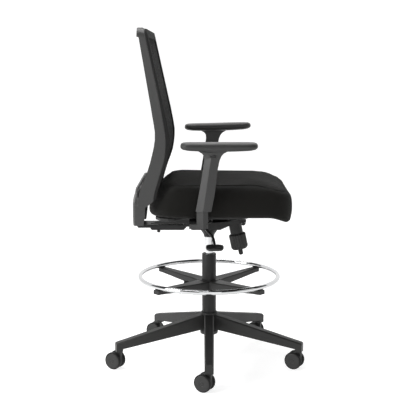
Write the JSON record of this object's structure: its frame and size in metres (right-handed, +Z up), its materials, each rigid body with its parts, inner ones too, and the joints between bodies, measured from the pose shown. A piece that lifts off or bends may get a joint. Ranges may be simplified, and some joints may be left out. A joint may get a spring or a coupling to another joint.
{
  "type": "drafting chair",
  "caption": "Tall swivel drafting chair with a caster base, a chromed foot ring, a gas lift, a tilt mechanism, a mesh back and height-adjustable arms.",
  "frame": {"origin": "on the floor, under the middle of the whole chair", "axes": "+X the way the sitter faces, +Y the sitter's left, +Z up"},
  "size_m": [0.6988, 0.6598, 1.1695],
  "materials": {
    "black_nylon": "fine moulded texture",
    "grey_plastic": "fine moulded texture, satin",
    "wheel_plastic": "satin",
    "chrome": "polished",
    "black_steel": "black powder coat",
    "bright_steel": "zinc plated",
    "seat_fabric": "woven upholstery over foam",
    "mesh_fabric": "open elastic mesh",
    "pad_foam": "soft skinned polyurethane"
  },
  "bodies": {
    "base": {"star_base": "black_nylon", "column_tube": "black_steel", "column_guide_bush": "black_nylon", "thrust_bearing": "bright_steel", "caster_stem_1": "bright_steel", "caster_stem_2": "bright_steel", "caster_stem_3": "bright_steel", "caster_stem_4": "bright_steel", "caster_stem_5": "bright_steel"},
    "caster_1": {"caster_body_1": "black_nylon", "caster_axle_1": "bright_steel"},
    "wheel_left_1": {"wheel_left_1": "wheel_plastic"},
    "wheel_right_1": {"wheel_right_1": "wheel_plastic"},
    "caster_2": {"caster_body_2": "black_nylon", "caster_axle_2": "bright_steel"},
    "wheel_left_2": {"wheel_left_2": "wheel_plastic"},
    "wheel_right_2": {"wheel_right_2": "wheel_plastic"},
    "caster_3": {"caster_body_3": "black_nylon", "caster_axle_3": "bright_steel"},
    "wheel_left_3": {"wheel_left_3": "wheel_plastic"},
    "wheel_right_3": {"wheel_right_3": "wheel_plastic"},
    "caster_4": {"caster_body_4": "black_nylon", "caster_axle_4": "bright_steel"},
    "wheel_left_4": {"wheel_left_4": "wheel_plastic"},
    "wheel_right_4": {"wheel_right_4": "wheel_plastic"},
    "caster_5": {"caster_body_5": "black_nylon", "caster_axle_5": "bright_steel"},
    "wheel_left_5": {"wheel_left_5": "wheel_plastic"},
    "wheel_right_5": {"wheel_right_5": "wheel_plastic"},
    "foot_ring_frame": {"foot_ring_spider": "black_nylon", "foot_ring": "chrome"},
    "foot_ring_clamp": {"foot_ring_knob": "black_nylon"},
    "spindle": {"piston_rod": "bright_steel"},
    "seat_lift": {"gas_cylinder": "chrome", "tilt_housing": "black_steel", "back_axle": "bright_steel", "seat_axle": "bright_steel", "tension_spring": "bright_steel"},
    "valve": {"valve_pin": "bright_steel"},
    "height_lever_arm": {"height_lever": "black_steel", "height_lever_paddle": "black_nylon"},
    "tension_adjuster": {"tension_knob": "black_nylon", "tension_screw": "black_steel"},
    "back": {"back_bar": "black_steel", "back_carrier": "grey_plastic", "back_frame": "grey_plastic", "back_mesh": "mesh_fabric"},
    "seat": {"seat_plate": "black_steel", "seat_pan": "black_nylon", "seat_cushion": "seat_fabric", "arm_bracket_left": "black_steel", "arm_bracket_right": "black_steel", "arm_upright_left": "bright_steel", "arm_upright_right": "bright_steel"},
    "arm_left": {"arm_sleeve_left": "grey_plastic", "arm_pad_left": "pad_foam"},
    "arm_catch_left": {"arm_button_left": "black_nylon"},
    "arm_right": {"arm_sleeve_right": "grey_plastic", "arm_pad_right": "pad_foam"},
    "arm_catch_right": {"arm_button_right": "black_nylon"}
  },
  "joints": [
    {"name": "caster_swivel_1", "type": "hinge", "parent": "base", "child": "caster_1", "pos_m": [0.0147, -0.306, 0.05], "axis": [0, 0, 1], "continuous": true},
    {"name": "wheel_spin_left_1", "type": "hinge", "parent": "caster_1", "child": "wheel_left_1", "pos_m": [0, -0.29851, 0.0305], "axis": [0.454, 0.891, 0], "continuous": true},
    {"name": "wheel_spin_right_1", "type": "hinge", "parent": "caster_1", "child": "wheel_right_1", "pos_m": [0, -0.29851, 0.0305], "axis": [0.454, 0.891, 0], "continuous": true},
    {"name": "caster_swivel_2", "type": "hinge", "parent": "base", "child": "caster_2", "pos_m": [0.32855, -0.07798, 0.05], "axis": [0, 0, 1], "continuous": true},
    {"name": "wheel_spin_left_2", "type": "hinge", "parent": "caster_2", "child": "wheel_left_2", "pos_m": [0.31385, -0.07049, 0.0305], "axis": [0.454, 0.891, 0], "continuous": true},
    {"name": "wheel_spin_right_2", "type": "hinge", "parent": "caster_2", "child": "wheel_right_2", "pos_m": [0.31385, -0.07049, 0.0305], "axis": [0.454, 0.891, 0], "continuous": true},
    {"name": "caster_swivel_3", "type": "hinge", "parent": "base", "child": "caster_3", "pos_m": [0.20867, 0.29098, 0.05], "axis": [0, 0, 1], "continuous": true},
    {"name": "wheel_spin_left_3", "type": "hinge", "parent": "caster_3", "child": "wheel_left_3", "pos_m": [0.19397, 0.29847, 0.0305], "axis": [0.454, 0.891, 0], "continuous": true},
    {"name": "wheel_spin_right_3", "type": "hinge", "parent": "caster_3", "child": "wheel_right_3", "pos_m": [0.19397, 0.29847, 0.0305], "axis": [0.454, 0.891, 0], "continuous": true},
    {"name": "caster_swivel_4", "type": "hinge", "parent": "base", "child": "caster_4", "pos_m": [-0.17927, 0.29098, 0.05], "axis": [0, 0, 1], "continuous": true},
    {"name": "wheel_spin_left_4", "type": "hinge", "parent": "caster_4", "child": "wheel_left_4", "pos_m": [-0.19397, 0.29847, 0.0305], "axis": [0.454, 0.891, 0], "continuous": true},
    {"name": "wheel_spin_right_4", "type": "hinge", "parent": "caster_4", "child": "wheel_right_4", "pos_m": [-0.19397, 0.29847, 0.0305], "axis": [0.454, 0.891, 0], "continuous": true},
    {"name": "caster_swivel_5", "type": "hinge", "parent": "base", "child": "caster_5", "pos_m": [-0.29915, -0.07798, 0.05], "axis": [0, 0, 1], "continuous": true},
    {"name": "wheel_spin_left_5", "type": "hinge", "parent": "caster_5", "child": "wheel_left_5", "pos_m": [-0.31385, -0.07049, 0.0305], "axis": [0.454, 0.891, 0], "continuous": true},
    {"name": "wheel_spin_right_5", "type": "hinge", "parent": "caster_5", "child": "wheel_right_5", "pos_m": [-0.31385, -0.07049, 0.0305], "axis": [0.454, 0.891, 0], "continuous": true},
    {"name": "foot_ring_height", "type": "slide", "parent": "base", "child": "foot_ring_frame", "axis": [0, 0, 1], "range_m": [-0.07, 0.045]},
    {"name": "foot_ring_clamp_turn", "type": "hinge", "parent": "foot_ring_frame", "child": "foot_ring_clamp", "pos_m": [-0.0453, 0.024, 0.281], "axis": [1, 0, 0], "range_deg": [0, 540]},
    {"name": "seat_swivel", "type": "hinge", "parent": "base", "child": "spindle", "pos_m": [0.0147, 0.024, 0.12], "axis": [0, 0, 1], "continuous": true},
    {"name": "seat_height", "type": "slide", "parent": "spindle", "child": "seat_lift", "axis": [0, 0, 1], "range_m": [-0.03, 0.15]},
    {"name": "valve_press", "type": "slide", "parent": "seat_lift", "child": "valve", "axis": [0, 0, -1], "range_m": [0, 0.0055]},
    {"name": "height_lever_lift", "type": "hinge", "parent": "seat_lift", "child": "height_lever_arm", "pos_m": [0.0207, -0.039, 0.5182], "axis": [-1, 0, 0], "range_deg": [0, 4.5], "stiffness_Nm_per_rad": 2, "springref_deg": -5.73},
    {"name": "tension_turn", "type": "hinge", "parent": "seat_lift", "child": "tension_adjuster", "pos_m": [0.1127, 0.024, 0.464], "axis": [0.2079, 0, -0.9781], "range_deg": [-720, 720]},
    {"name": "back_tilt", "type": "hinge", "parent": "seat_lift", "child": "back", "pos_m": [-0.0303, 0.024, 0.5045], "axis": [0, -1, 0], "range_deg": [0, 20], "stiffness_Nm_per_rad": 80, "springref_deg": -22.92},
    {"name": "seat_tilt", "type": "hinge", "parent": "seat_lift", "child": "seat", "pos_m": [0.1322, 0.024, 0.512], "axis": [0, -1, 0], "range_deg": [0, 5]},
    {"name": "arm_height_left", "type": "slide", "parent": "seat", "child": "arm_left", "axis": [0.1609, 0, 0.987], "range_m": [-0.02837, 0.04143]},
    {"name": "arm_button_press_left", "type": "slide", "parent": "arm_left", "child": "arm_catch_left", "axis": [0, -1, 0], "range_m": [0, 0.0025], "stiffness_N_per_m": 400, "springref_m": -0.001},
    {"name": "arm_height_right", "type": "slide", "parent": "seat", "child": "arm_right", "axis": [0.1609, 0, 0.987], "range_m": [0, 0.07]},
    {"name": "arm_button_press_right", "type": "slide", "parent": "arm_right", "child": "arm_catch_right", "axis": [0, 1, 0], "range_m": [0, 0.0025], "stiffness_N_per_m": 400, "springref_m": -0.001}
  ],
  "couplings": [
    {"joint": "seat_tilt", "follows": "back_tilt", "ratio": 0.25},
    {"joint": "valve_press", "follows": "height_lever_lift", "m_per_rad": 0.066}
  ]
}
